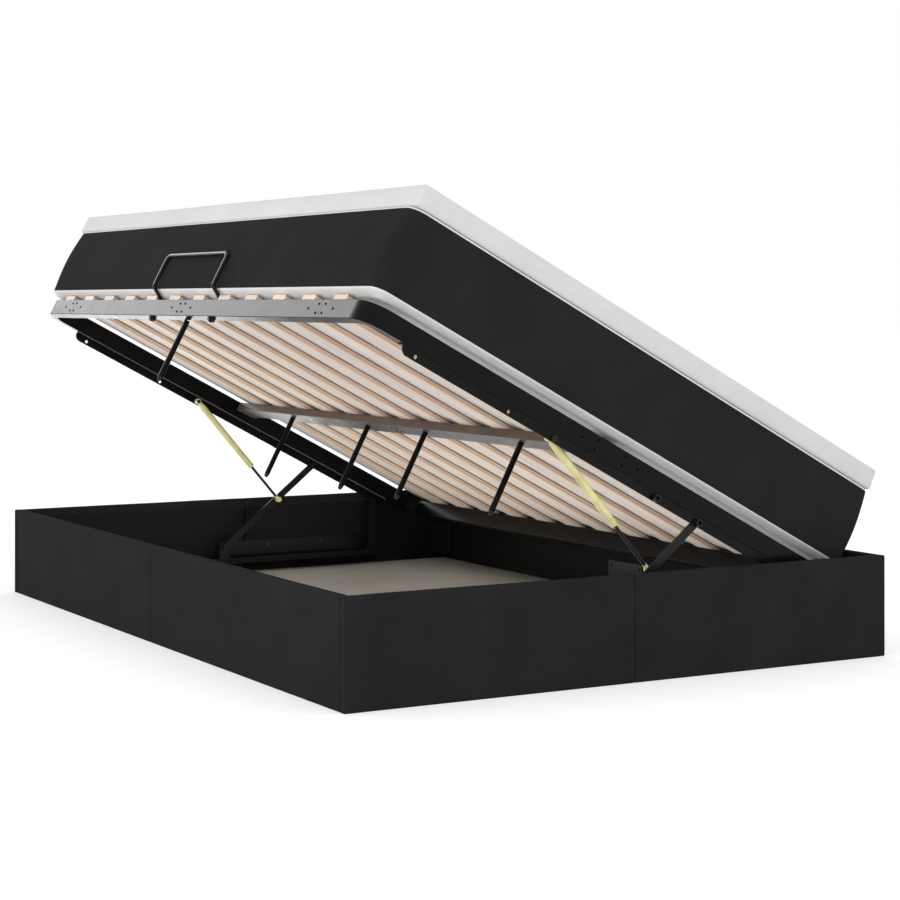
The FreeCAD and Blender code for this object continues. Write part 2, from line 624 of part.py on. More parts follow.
rail_front = FRAME_FRONT + LIFT_RAIL_FRONT_SPACE
rail_back = CLOSED_PIVOT_Y + LIFT_RAIL_BACK_SPAN
nose_inset = LIFT_RAIL_NOSE * (1.0 - math.sqrt(0.5))
flange_corners = [
    V(FLANGE_IN_X, rail_front + LIFT_RAIL_NOSE, LIFT_RAIL_BOTTOM),
    V(FLANGE_IN_X, rail_back, LIFT_RAIL_BOTTOM),
    V(FLANGE_IN_X, rail_back, FRAME_BOTTOM),
    V(FLANGE_IN_X, rail_front, FRAME_BOTTOM),
    V(FLANGE_IN_X, rail_front, LIFT_RAIL_BOTTOM + LIFT_RAIL_NOSE),
]
nose = Part.Arc(flange_corners[-1],
                V(FLANGE_IN_X, rail_front + nose_inset, LIFT_RAIL_BOTTOM + nose_inset),
                flange_corners[0]).toShape()
flange = Part.Face(Part.Wire(Part.makePolygon(flange_corners).Edges + [nose])).extrude(V(LIFT_RAIL_THICKNESS, 0, 0))
ledge = box(V(FRAME_HALF_X - TUBE_WIDTH, rail_front, FRAME_BOTTOM - LIFT_RAIL_LEDGE),
            V(FLANGE_OUT_X, rail_back, FRAME_BOTTOM))
rail_holes = [cross_rod(point, FLANGE_IN_X, FLANGE_OUT_X, RAIL_HOLE_RADIUS)
              for point in (V(0, rail_front + RAIL_FRONT_HOLE_INSET, CLOSED_PIVOT_Z),
                            rail_point(RAIL_MIDDLE_HOLE_SPAN))]
lift_rail = join([flange, ledge]).cut(rail_holes)
export_open("lift_rail_right", lift_rail)
export_open("lift_rail_left", mirror_x(lift_rail))


def ring_head(pivot):
    """Round bolt head with a six-sided socket, outside the rail."""
    face_x = FLANGE_OUT_X + RING_HEAD_HEIGHT
    socket = hexagon(V(face_x, pivot.y, pivot.z), V(-1, 0, 0), RING_SOCKET_ACROSS, RING_SOCKET_DEPTH)
    return cross_rod(pivot, FLANGE_OUT_X, face_x, RING_HEAD_RADIUS).cut(socket)


def hex_head(pivot):
    return hexagon(V(FLANGE_OUT_X, pivot.y, pivot.z), V(1, 0, 0), BOLT_HEAD_ACROSS, BOLT_HEAD_HEIGHT)


spare_bolt = rail_point(SPARE_BOLT_SPAN)
spare_nut = hexagon(V(FLANGE_IN_X, spare_bolt.y, spare_bolt.z), V(-1, 0, 0), BOLT_HEAD_ACROSS, ARM_THICKNESS)
eye_cap_x = EYE_IN_X - SIDE_PLAY
strut_stud = join([
    cross_rod(STRUT_TOP_CLOSED, EYE_OUT_X + SIDE_PLAY, FLANGE_IN_X, STUD_COLLAR_RADIUS),
    capped_pin(STRUT_TOP_CLOSED, FLANGE_IN_X, eye_cap_x, EYE_PIN_RADIUS, EYE_CAP_ACROSS),
])
rail_bolts = []
for piece in (ring_head(CLOSED_PIVOT), capped_pin(CLOSED_PIVOT, FLANGE_IN_X, arm_cap_x, PIN_RADIUS, PIN_CAP_ACROSS),
              ring_head(spare_bolt), spare_nut, hex_head(STRUT_TOP_CLOSED), strut_stud, hex_head(REAR_CLOSED)):
    rail_bolts += both_ends(piece)
export_open("rail_pivot_bolts", Part.makeCompound(rail_bolts))


# Lift arms and rear links, drawn at their open stand
def flat_link(start, end):
    """Flat bar with round ends about two pivots."""
    along = (end - start).normalize() * (ARM_WIDTH / 2.0)
    across = V(0, -along.z, along.y)
    shift = V(ARM_IN_X, 0, 0)
    edges = [
        Part.LineSegment(shift + start + across, shift + end + across).toShape(),
        Part.Arc(shift + end + across, shift + end + along, shift + end - across).toShape(),
        Part.LineSegment(shift + end - across, shift + start - across).toShape(),
        Part.Arc(shift + start - across, shift + start - along, shift + start + across).toShape(),
    ]
    return Part.Face(Part.Wire(edges)).extrude(V(ARM_THICKNESS, 0, 0))


def link_hole(pivot):
    return cross_rod(pivot, ARM_IN_X, ARM_OUT_X, PIN_RADIUS + PIN_CLEARANCE)


arm = flat_link(ARM_BASE, OPEN_PIVOT).cut([link_hole(ARM_BASE), link_hole(OPEN_PIVOT)])
export("lift_arms", Part.makeCompound(both_ends(arm)))
rear_link = flat_link(REAR_BASE, REAR_OPEN).cut(link_hole(REAR_BASE))
export("rear_links", Part.makeCompound(both_ends(rear_link)))
strut_pin = cross_rod(STRUT_PIN_OPEN, EYE_OUT_X + SIDE_PLAY, ARM_IN_X, STUD_COLLAR_RADIUS)
export("strut_pins", Part.makeCompound(both_ends(strut_pin)))


# Gas struts, drawn along Z from the upper eye and laid on the line between their pins
def on_strut(height):
    return V(0, 0, height)


def lay_strut(shape):
    placed = shape.copy()
    placed.rotate(V(0, 0, 0), V(1, 0, 0), STRUT_TURN)
    placed.translate(STRUT_TOP_OPEN + V(EYE_MID_X, 0, 0))
    return placed


def eye_across(height, radius):
    return cross_rod(on_strut(height), -EYE_WIDTH / 2.0, EYE_WIDTH / 2.0, radius)


barrel = join([
    eye_across(0.0, EYE_RADIUS),
    Part.makeCone(STRUT_NECK_RADIUS, STRUT_RADIUS, STRUT_SHOULDER),
    rod(on_strut(STRUT_SHOULDER), on_strut(STRUT_LENGTH), STRUT_RADIUS),
]).cut([
    eye_across(0.0, EYE_PIN_RADIUS + PIN_CLEARANCE),
    rod(on_strut(STRUT_LENGTH - ROD_BORE_DEPTH), on_strut(STRUT_LENGTH), ROD_RADIUS + ROD_CLEARANCE),
])
export("strut_barrel_right", lay_strut(barrel))
export("strut_barrel_left", mirror_x(lay_strut(barrel)))

strut_reach = STRUT_LINE.Length
neck_start = strut_reach - EYE_NECK
piston_rod = rod(on_strut(STRUT_LENGTH - ROD_REST_HOLD), on_strut(neck_start), ROD_RADIUS)
export("strut_rods", Part.makeCompound(both_ends(lay_strut(piston_rod))))
rod_end = join([
    eye_across(strut_reach, EYE_RADIUS),
    rod(on_strut(neck_start), on_strut(strut_reach), STRUT_NECK_RADIUS),
])
export("strut_rod_ends", Part.makeCompound(both_ends(lay_strut(rod_end))))


# Mattress handle: one bent rod through the front rail, with a nut under each foot
def bent_path(points, radii):
    """Wire through points whose inner corners are rounded by arcs."""
    edges = []
    last = points[0]
    for before, corner, after, radius in zip(points, points[1:], points[2:], radii):
        back = (before - corner).normalize()
        ahead = (after - corner).normalize()
        half = back.getAngle(ahead) / 2.0
        trim = radius / math.tan(half)
        bisector = (back + ahead).normalize()
        middle = corner + bisector * (radius / math.sin(half) - radius)
        edges.append(Part.LineSegment(last, corner + back * trim).toShape())
        edges.append(Part.Arc(corner + back * trim, middle, corner + ahead * trim).toShape())
        last = corner + ahead * trim
    edges.append(Part.LineSegment(last, points[-1]).toShape())
    return Part.Wire(edges)


handle_y = FRAME_FRONT - HANDLE_STANDOFF
handle_side = [
    V(HANDLE_HALF_SPAN, FRONT_AXIS_Y, FRAME_BOTTOM - HANDLE_TAIL),
    V(HANDLE_HALF_SPAN, FRONT_AXIS_Y, FRAME_TOP + HANDLE_RISE),
    V(HANDLE_HALF_SPAN, handle_y, FRAME_TOP + HANDLE_KNEE),
    V(HANDLE_HALF_SPAN, handle_y, FRAME_TOP + HANDLE_TOP),
]
handle_points = handle_side + [V(-point.x, point.y, point.z) for point in reversed(handle_side)]
handle_radii = [HANDLE_KNEE_RADIUS, HANDLE_KNEE_RADIUS, HANDLE_CORNER_RADIUS]
handle_path = bent_path(handle_points, handle_radii + handle_radii[::-1])
handle_ring = facet_ring(handle_side[0], HANDLE_SIDES, HANDLE_RADIUS)
export_open("mattress_handle", handle_path.makePipeShell([handle_ring], True, False))

nut_base = V(HANDLE_HALF_SPAN, FRONT_AXIS_Y, FRAME_BOTTOM - NUT_HEIGHT)
nut_bore = rod(nut_base, nut_base + V(0, 0, NUT_HEIGHT), HANDLE_RADIUS + HANDLE_HOLE_CLEARANCE)
nut = hexagon(nut_base, V(0, 0, 1), NUT_ACROSS_CORNERS, NUT_HEIGHT).cut(nut_bore)
export_open("handle_nuts", Part.makeCompound(both_ends(nut)))


# Mattress and topper: stacked outlines, each given as its height and how far it is drawn in
def soft_body(levels, length, width, corner, centre_y, bottom):
    rings = []
    for height, inset in levels:
        ring = outline(length - 2.0 * inset, width - 2.0 * inset, corner - min(inset, 0.0))
        ring.translate(V(0, centre_y, bottom + height))
        rings.append(ring)
    return Part.makeLoft(rings, True, True)


side_height = MATTRESS_HEIGHT - MATTRESS_HEM - MATTRESS_SHOULDER
mattress_levels = [(0.0, MATTRESS_HEM_INSET), (MATTRESS_HEM / 3.0, MATTRESS_HEM_INSET / 2.4)]
for step in range(MATTRESS_BULGE_STEPS + 1):
    share = step / MATTRESS_BULGE_STEPS
    bulge = MATTRESS_BULGE * math.sin(math.pi * share)
    mattress_levels.append((MATTRESS_HEM + side_height * share, -bulge))
mattress_levels.append((MATTRESS_HEIGHT, MATTRESS_SHOULDER))
export_open("mattress", soft_body(mattress_levels, MATTRESS_LENGTH, MATTRESS_WIDTH, MATTRESS_CORNER,
                                  FRAME_CENTRE_Y + MATTRESS_SHIFT_Y, MATTRESS_BOTTOM))

topper_levels = [(0.0, TOPPER_EDGE), (TOPPER_EDGE * 0.3, TOPPER_EDGE * 0.3), (TOPPER_EDGE, 0.0),
                 (TOPPER_HEIGHT - TOPPER_EDGE, 0.0), (TOPPER_HEIGHT - TOPPER_EDGE * 0.3, TOPPER_EDGE * 0.3),
                 (TOPPER_HEIGHT, TOPPER_EDGE)]
export_open("topper", soft_body(topper_levels, TOPPER_LENGTH, TOPPER_WIDTH, TOPPER_CORNER,
                                FRAME_CENTRE_Y + TOPPER_SHIFT_Y, TOPPER_BOTTOM))
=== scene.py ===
import bpy
import bmesh
import json
import math
from mathutils import Matrix, Vector, noise


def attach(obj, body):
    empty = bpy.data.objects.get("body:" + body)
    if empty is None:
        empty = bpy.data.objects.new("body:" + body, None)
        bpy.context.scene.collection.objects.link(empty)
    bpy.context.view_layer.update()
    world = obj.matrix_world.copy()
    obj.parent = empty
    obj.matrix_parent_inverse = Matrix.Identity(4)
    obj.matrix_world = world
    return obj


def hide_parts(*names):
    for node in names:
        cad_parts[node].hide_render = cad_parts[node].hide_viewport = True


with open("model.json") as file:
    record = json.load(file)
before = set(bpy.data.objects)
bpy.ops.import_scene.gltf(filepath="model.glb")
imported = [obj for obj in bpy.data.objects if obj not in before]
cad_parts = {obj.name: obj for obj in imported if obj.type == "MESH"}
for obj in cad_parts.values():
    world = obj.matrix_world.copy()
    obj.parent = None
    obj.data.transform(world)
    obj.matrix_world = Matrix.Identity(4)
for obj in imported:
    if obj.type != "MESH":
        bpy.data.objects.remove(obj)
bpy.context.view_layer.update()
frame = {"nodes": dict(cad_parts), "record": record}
nodes = frame["nodes"]
scene = bpy.context.scene
scene.view_settings.view_transform = "Standard"

# The platform is drawn closed and then carried open, as in the CAD source.
TILT = math.radians(27.72)
OPEN_PIVOT = Vector((0.0, 0.2094, 0.3339))
CLOSED_PIVOT = Vector((0.0, 0.286, 0.169))
TO_OPEN = (Matrix.Translation(OPEN_PIVOT) @ Matrix.Rotation(-TILT, 4, "X")
           @ Matrix.Translation(-CLOSED_PIVOT))
SLAT_PITCH = 0.150
SLAT_WIDTH = 0.063
SLAT_COUNT = 12
X, Y, Z = 0, 1, 2


# Materials

# The part of a noise's range that most of its values fall in
MIDDLE = (0.3, 0.7)
# Period of the wave texture's bands at a scale of 1
WAVE_PERIOD = math.pi / 10.0
# Sockets of the Mix node when it mixes colours
MIX_SHARE, MIX_A, MIX_B, MIX_RESULT = 0, 6, 7, 2
EDGE_SAMPLES = 4
# The lift rails' ledges end here; their edges get a painted highlight
LEDGE_X = 0.945
# Tilted heights between which a slat's side is painted darker, a painted shadow close below the mattress
PAINTED_SIDE_SHADE = (0.4600, 0.4612)
# Distances from a slat's middle, in pitches, between which its underside takes on the sides' tone
EDGE_TONE = (0.160, 0.206)


class Nodes:
    """Short ways to add shader nodes to a tree."""

    def __init__(self, tree):
        self.tree = tree

    def set(self, node, values):
        """Links sockets or gives them values; an underscore in a socket's name stands for a space."""
        for key, value in values.items():
            socket = node.inputs[key.replace("_", " ") if isinstance(key, str) else key]
            if isinstance(value, bpy.types.NodeSocket):
                self.tree.links.new(value, socket)
            elif socket.type == "RGBA" and len(value) == 3:
                socket.default_value = (*value, 1.0)
            else:
                socket.default_value = value

    def add(self, kind, sockets=None, **properties):
        node = self.tree.nodes.new("ShaderNode" + kind)
        for key, value in properties.items():
            setattr(node, key, value)
        self.set(node, sockets or {})
        return node

    def scaled(self, vector, scale):
        return self.add("Mapping", {"Vector": vector, "Scale": scale}).outputs[0]

    def coords(self, tilted=False, scale=(1.0, 1.0, 1.0)):
        """Object coordinates in metres; tilted ones lie along the open platform."""
        where = self.add("TexCoord").outputs["Object"]
        if tilted:
            where = self.add("Mapping", {"Vector": where, "Rotation": (TILT, 0.0, 0.0)}).outputs[0]
        return self.scaled(where, scale)

    def split(self, vector):
        return self.add("SeparateXYZ", {0: vector}).outputs

    def join(self, x, y, z):
        return self.add("CombineXYZ", {X: x, Y: y, Z: z}).outputs[0]

    def facing(self):
        """The surface's own normal, split into its three parts."""
        return self.split(self.add("NewGeometry").outputs["True Normal"])

    def noise(self, vector, scale=1.0, detail=3.0, rough=0.5, distortion=0.0):
        return self.add("TexNoise", {"Vector": vector, "Scale": scale, "Detail": detail,
                                     "Roughness": rough, "Distortion": distortion}).outputs[0]

    def wave(self, vector, period, axis, distortion):
        """Bands along an axis, with a period in metres."""
        sockets = {"Vector": vector, "Scale": WAVE_PERIOD / period, "Distortion": distortion}
        return self.add("TexWave", sockets, bands_direction=axis).outputs["Fac"]

    def math(self, operation, a, b=0.0):
        return self.add("Math", {0: a, 1: b}, operation=operation).outputs[0]

    def weigh(self, a, share, b):
        """A share of one value and the rest of another."""
        return self.math("ADD", self.math("MULTIPLY", a, share), self.math("MULTIPLY", b, 1.0 - share))

    def ramp(self, value, low, high, start=0.0, end=1.0):
        """Maps start..end of a value to a colour or a number."""
        if isinstance(low, (int, float)):
            return self.add("MapRange", {"Value": value, "From_Min": start, "From_Max": end,
                                         "To_Min": low, "To_Max": high}).outputs[0]
        node = self.add("ValToRGB", {0: value})
        for element, position, colour in zip(node.color_ramp.elements, (start, end), (low, high)):
            element.position = position
            element.color = (*colour, 1.0)
        return node.outputs[0]

    def mix(self, share, a, b, kind="MIX"):
        node = self.add("Mix", data_type="RGBA", blend_type=kind)
        self.set(node, {MIX_SHARE: share, MIX_A: a, MIX_B: b})
        return node.outputs[MIX_RESULT]

    def bump(self, height, distance, strength, normal=None):
        sockets = {"Height": height, "Distance": distance, "Strength": strength}
        if normal is not None:
            sockets["Normal"] = normal
        return self.add("Bump", sockets).outputs[0]

    def soft_edge(self, radius):
        return self.add("Bevel", {"Radius": radius}, samples=EDGE_SAMPLES).outputs[0]


class Shader(Nodes):
    """A material with a Principled shader."""

    def __init__(self, name, **values):
        self.material = bpy.data.materials.new(name)
        self.material.use_nodes = True
        super().__init__(self.material.node_tree)
        self.surface = self.tree.nodes["Principled BSDF"]
        self.set(self.surface, values)

    def finish(self, **values):
        self.set(self.surface, values)
        return self.material


def times(colour, factor):
    """A colour made darker or lighter."""
    return tuple(min(1.0, factor * c) for c in colour)


def cloth(name, low, high, tilted, thread, depth, sheen):
    """Woven or knitted cloth: threads in two directions, slubs and a slow change of tone."""
    s = Shader(name, Roughness=0.92, Specular_IOR_Level=0.02)
    where = s.coords(tilted)
    x, y, z = s.split(where)
    slant = s.math("MULTIPLY", s.math("SUBTRACT", x, y), 0.5)
    lanes = s.join(s.math("ADD", x, y), s.math("ADD", z, slant), y)
    warp = s.wave(lanes, thread, "X", distortion=0.6)
    weft = s.wave(lanes, thread * 1.15, "Y", distortion=0.6)
    weave = s.math("MULTIPLY", warp, weft)
    slub = s.noise(s.coords(tilted, (60.0, 60.0, 420.0)), detail=2.0)
    tone = s.noise(where, 7.0, detail=4.0, rough=0.55)
    colour = s.ramp(s.weigh(tone, 0.6, slub), low, high, *MIDDLE)
    colour = s.mix(s.ramp(weave, 0.55, 0.0, 0.0, 0.5), colour, times(low, 0.62))
    ripple = s.bump(s.noise(where, 9.0), 0.004, 0.25)
    normal = s.bump(s.math("ADD", weave, s.math("MULTIPLY", slub, 0.35)), depth, 0.6, ripple)
    return s.finish(Base_Color=colour, Normal=normal, Sheen_Weight=sheen, Sheen_Roughness=0.5,
                    Sheen_Tint=(*high, 1.0))


def lacquer(name, colour, rough, ior, tilted=False, edge=0.0008, painted_reflection_tone=None, painted_edge_highlight=None):
    """Sprayed coat on steel: orange peel, faint clouding of colour and gloss, and softened edges.

    Faces that look down may be painted a paler tone, a painted reflection of the light from below, and
    the ledges' edges a pale line, a painted highlight.
    """
    s = Shader(name, IOR=ior)
    where = s.coords(tilted)
    cloud = s.noise(where, 22.0, detail=4.0, rough=0.6)
    peel = s.noise(where, 420.0, detail=2.0)
    tone = s.ramp(cloud, times(colour, 0.8), times(colour, 1.2), *MIDDLE)
    # Painted reflection: faces that look down are painted paler, as if they reflected the light from
    # below.
    if painted_reflection_tone is not None:
        painted_reflection = s.ramp(cloud, times(painted_reflection_tone, 0.85), painted_reflection_tone, *MIDDLE)
        tone = s.mix(s.ramp(s.facing()[Z], 1.0, 0.0, -0.8, -0.6), tone, painted_reflection)
    # Painted highlight: a pale line on the sideways faces at the ledges' edges, as if light caught them.
    if painted_edge_highlight is not None:
        on_edge = s.ramp(s.math("ABSOLUTE", s.facing()[X]), 0.0, 1.0, 0.6, 0.8)
        reach = s.math("ABSOLUTE", s.split(where)[X])
        inside = s.ramp(reach, 1.0, 0.0, LEDGE_X + 0.001, LEDGE_X + 0.003)
        tone = s.mix(s.math("MULTIPLY", on_edge, inside), tone, painted_edge_highlight)
    gloss = s.ramp(cloud, rough * 0.8, rough * 1.25, *MIDDLE)
    gloss = s.math("ADD", gloss, s.math("MULTIPLY", peel, 0.04))
    normal = s.bump(peel, 0.00006, 0.5, s.soft_edge(edge))
    return s.finish(Base_Color=tone, Roughness=gloss, Normal=normal)


def bare_metal(name, colour, rough):
    """Plated steel: a mottled tone, and brushed streaks in its gloss and surface."""
    s = Shader(name, Metallic=1.0)
    streak = s.noise(s.coords(scale=(30.0, 30.0, 900.0)))
    mottle = s.noise(s.coords(), 60.0)
    tone = s.ramp(mottle, times(colour, 0.82), colour, *MIDDLE)
    gloss = s.ramp(streak, rough * 0.75, rough * 1.3, *MIDDLE)
    normal = s.bump(streak, 0.00004, 0.4, s.soft_edge(0.0006))
    return s.finish(Base_Color=tone, Roughness=gloss, Normal=normal)


def slat_wood(name):
    """Pale veneer with grain along the slat, each slat a little different; darker ply on the narrow
    sides and along the edges of the face, and end grain."""
    s = Shader(name, IOR=1.35)
    fixed = s.coords(True)
    chance = s.add("ObjectInfo").outputs["Random"]
    shift = s.join(s.math("MULTIPLY", chance, 3.0), s.math("MULTIPLY", chance, 9.0), chance)
    where = s.add("VectorMath", {0: fixed, 1: shift}, operation="ADD").outputs[0]
    grain = s.noise(s.scaled(where, (70.0, 2.2, 70.0)), detail=5.0, rough=0.6, distortion=0.8)
    fibres = s.noise(s.scaled(where, (700.0, 12.0, 700.0)), detail=2.0)
    streaks = s.noise(s.scaled(where, (18.0, 3.0, 520.0)))
    figure = s.weigh(grain, 0.75, fibres)
    face = s.ramp(figure, (0.66, 0.57, 0.48), (0.84, 0.76, 0.67), 0.34, 0.62)
    ply = s.ramp(s.weigh(streaks, 0.7, fibres), (0.68, 0.48, 0.345), (0.93, 0.69, 0.51), 0.34, 0.64)
    # Painted shadow: the top of each slat's side turns dark where the mattress shades it.
    ply = s.mix(s.ramp(s.split(fixed)[Z], 0.0, 0.75, *PAINTED_SIDE_SHADE), ply, (0.06, 0.04, 0.03))
    rings = s.ramp(fibres, (0.62, 0.49, 0.39), (0.72, 0.615, 0.51), *MIDDLE)
    across = s.math("FRACT", s.math("DIVIDE", s.split(fixed)[X], SLAT_PITCH))
    from_middle = s.math("ABSOLUTE", s.math("SUBTRACT", across, 0.5))
    colour = s.mix(s.ramp(from_middle, 0.0, 0.9, *EDGE_TONE), face, ply)
    end = s.math("ABSOLUTE", s.facing()[Y])
    colour = s.mix(s.ramp(end, 0.0, 1.0, 0.6, 0.75), colour, rings)
    side = s.math("ABSOLUTE", s.facing()[X])
    colour = s.mix(s.ramp(side, 0.0, 1.0, 0.6, 0.8), colour, ply)
    tone = s.ramp(s.math("FRACT", s.math("MULTIPLY", chance, 7.0)), 0.92, 1.06)
    colour = s.mix(1.0, colour, s.join(tone, tone, tone), "MULTIPLY")
    gloss = s.ramp(figure, 0.62, 0.48, *MIDDLE)
    normal = s.bump(figure, 0.0002, 0.35, s.soft_edge(0.0012))
    return s.finish(Base_Color=colour, Roughness=gloss, Normal=normal)


def board(name, low, high, rough):
    """Faced chipboard: short flecks and a faint long grain."""
    s = Shader(name, IOR=1.3)
    fleck = s.noise(s.coords(), 240.0)
    grain = s.noise(s.coords(scale=(4.0, 4.0, 160.0)), detail=4.0)
    value = s.weigh(fleck, 0.5, grain)
    tone = s.ramp(value, low, high, 0.35, 0.65)
    gloss = s.ramp(fleck, rough, rough + 0.15, *MIDDLE)
    normal = s.bump(value, 0.0001, 0.4, s.soft_edge(0.0008))
    return s.finish(Base_Color=tone, Roughness=gloss, Normal=normal)


def rubber(name, colour):
    """Rubber with a fine grit in its tone, gloss and surface."""
    s = Shader(name, IOR=1.4)
    grit = s.noise(s.coords(True), 500.0)
    tone = s.ramp(grit, times(colour, 0.7), times(colour, 1.5), *MIDDLE)
    gloss = s.ramp(grit, 0.55, 0.75, *MIDDLE)
    return s.finish(Base_Color=tone, Roughness=gloss, Normal=s.bump(grit, 0.0001, 0.5))


base_cloth = cloth("base_cloth", (0.019, 0.019, 0.020), (0.031, 0.031, 0.032), False,
                   thread=0.0021, depth=0.0005, sheen=0.02)
mattress_black = cloth("mattress_black", (0.0185, 0.0185, 0.0195), (0.030, 0.030, 0.031), True,
                       thread=0.0017, depth=0.0004, sheen=0.02)
mattress_white = cloth("mattress_white", (0.79, 0.78, 0.77), (0.91, 0.90, 0.89), True,
                       thread=0.0019, depth=0.0004, sheen=0.05)
topper_white = cloth("topper_white", (0.745, 0.745, 0.745), (0.84, 0.84, 0.84), True,
                     thread=0.0023, depth=0.0005, sheen=0.05)
dark_board = board("dark_board", (0.0028, 0.0025, 0.0023), (0.0060, 0.0053, 0.0047), rough=0.55)
floor_board = board("floor_board", (0.36, 0.34, 0.30), (0.48, 0.46, 0.42), rough=0.6)
frame_steel = lacquer("frame_steel", (0.004, 0.004, 0.0042), rough=0.2, ior=1.2, tilted=True)
# The ledges' edges get a painted highlight, a pale grey line.
lift_steel = lacquer("lift_steel", (0.005, 0.005, 0.0052), rough=0.22, ior=1.2, tilted=True,
                     edge=0.002, painted_edge_highlight=(0.15, 0.15, 0.15))
# The bar's downward faces get a painted reflection, a paler grey than its front.
bar_steel = lacquer("bar_steel", (0.11, 0.077, 0.060), rough=0.3, ior=1.25, tilted=True,
                    painted_reflection_tone=(0.09, 0.087, 0.084))
dark_metal = lacquer("dark_metal", (0.007, 0.007, 0.007), rough=0.34, ior=1.3)
joint_metal = lacquer("joint_metal", (0.0015, 0.0015, 0.0015), rough=0.7, ior=1.05)
handle_metal = lacquer("handle_metal", (0.005, 0.005, 0.005), rough=0.14, ior=1.3, tilted=True)
zinc = bare_metal("zinc_fitting", (0.085, 0.085, 0.085), rough=0.45)
strut_yellow = lacquer("strut_yellow", (0.74, 0.68, 0.33), rough=0.3, ior=1.4)
slats = slat_wood("slat_wood")
foot_rubber = rubber("foot_rubber", (0.010, 0.010, 0.010))

by_slot = {
    "base_cloth": base_cloth, "dark_board": dark_board, "floor_board": floor_board,
    "frame_steel": frame_steel, "bar_steel": bar_steel, "dark_metal": dark_metal,
    "zinc_fitting": zinc, "strut_yellow": strut_yellow, "slat_wood": slats,
    "foot_plastic": foot_rubber, "mattress_cloth": mattress_black, "topper_cloth": topper_white,
}
own = {"joint_screws": joint_metal, "mattress_handle": handle_metal,
       "lift_rail_left": lift_steel, "lift_rail_right": lift_steel}
for part in frame["record"]["subparts"]:
    target = nodes[part["node"]]
    target.data.materials.clear()
    target.data.materials.append(own.get(part["node"], by_slot[part["material_slot"]]))


# Soft pieces

# Steps of a pad's outline along its long sides, its short sides and round each corner
LONG_STEPS, SHORT_STEPS, CORNER_STEPS = 98, 68, 6
# Sizes of the rings on a pad's flat faces, as shares of the outline
INNER_RINGS = (0.08, 0.2, 0.36, 0.52, 0.68, 0.84, 0.94)
INNER_ROUND = 0.25
LEAST_CORNER = 0.002
WHITE, BLACK = 0, 1
SWELL_FRAMES = 20
STIFFNESS = 18.0
STILL = 1e-9
# Angles of a quarter turn, for the rounds of the covers
QUARTER = tuple(math.radians(step) for step in (0.0, 22.5, 45.0, 67.5, 90.0))


def new_object(name, verts, faces, materials, material_of):
    """A smooth mesh object with its faces turned outwards and their materials set."""
    mesh = bpy.data.meshes.new(name)
    mesh.from_pydata(verts, [], faces)
    for material in materials:
        mesh.materials.append(material)
    for polygon, index in zip(mesh.polygons, material_of):
        polygon.material_index = index
        polygon.use_smooth = True
    work = bmesh.new()
    work.from_mesh(mesh)
    bmesh.ops.recalc_face_normals(work, faces=work.faces)
    work.to_mesh(mesh)
    work.free()
    piece = bpy.data.objects.new(name, mesh)
    scene.collection.objects.link(piece)
    return piece


def ring(length, width, r):
    """Points round a rectangle with corners of radius r: front, right, back, left, each with the
    corner after it."""
    points = []
    x, y = length / 2.0, width / 2.0
    runs = (((-x + r, -y), (x - r, -y), LONG_STEPS, (x - r, -y + r), -90.0),
            ((x, -y + r), (x, y - r), SHORT_STEPS, (x - r, y - r), 0.0),
            ((x - r, y), (-x + r, y), LONG_STEPS, (-x + r, y - r), 90.0),
            ((-x, y - r), (-x, -y + r), SHORT_STEPS, (-x + r, -y + r), 180.0))
    for start, end, count, centre, angle in runs:
        for step in range(count + 1):
            t = step / count
            points.append((start[0] + (end[0] - start[0]) * t, start[1] + (end[1] - start[1]) * t))
        for step in range(1, CORNER_STEPS):
            turn = math.radians(angle + 90.0 * step / CORNER_STEPS)
            points.append((centre[0] + r * math.cos(turn), centre[1] + r * math.sin(turn)))
    return points


def inner_ring(length, width, share):
    """A smaller ring within an outline, with sharper corners close to it."""
    return ring(length * share, width * share, INNER_ROUND * width * share * (1.0 - share))


def pad_mesh(name, size, corner, levels, materials):
    """A closed pad from rings, bottom middle to top middle.

    A level is a height, an inset from the pad's outline, and the material of the band above it.
    """
    rows = []
    for height, inset, index in levels:
        sides = (size[X] - 2.0 * inset, size[Y] - 2.0 * inset)
        if not rows:
            rows += [(inner_ring(*sides, share), height, index) for share in INNER_RINGS]
        rows.append((ring(*sides, max(corner - inset, LEAST_CORNER)), height, index))
    rows += [(inner_ring(*sides, share), height, index) for share in reversed(INNER_RINGS)]
    count = len(rows[0][0])
    verts = [(x, y, height) for outline, height, _ in rows for x, y in outline]
    faces, material_of = [], []
    for row, (_, _, index) in enumerate(rows[:-1]):
        for k in range(count):
            a, b = row * count + k, row * count + (k + 1) % count
            faces.append((a, b, b + count, a + count))
            material_of.append(index)
    # The smallest rings are closed by a ladder of quads, from one corner to the opposite one
    last = len(verts) - count
    tip = count - CORNER_STEPS // 2
    for k in range(count // 2):
        rungs = [tip + k, tip + k + 1, tip - k - 1, tip - k]
        patch = list(dict.fromkeys(point % count for point in rungs))
        faces += [tuple(reversed(patch)), tuple(last + point for point in patch)]
        material_of += [rows[0][2], rows[-1][2]]
    return new_object(name, verts, faces, materials, material_of)


def lengthen_left(piece, size, top, bottom):
    """Draws the left half of a pad out, by one measure at its top and another at its bottom."""
    for vertex in piece.data.vertices:
        if vertex.co.x < 0.0:
            more = bottom + (top - bottom) * vertex.co.z / size[Z]
            vertex.co.x *= 1.0 + more / (size[X] / 2.0)


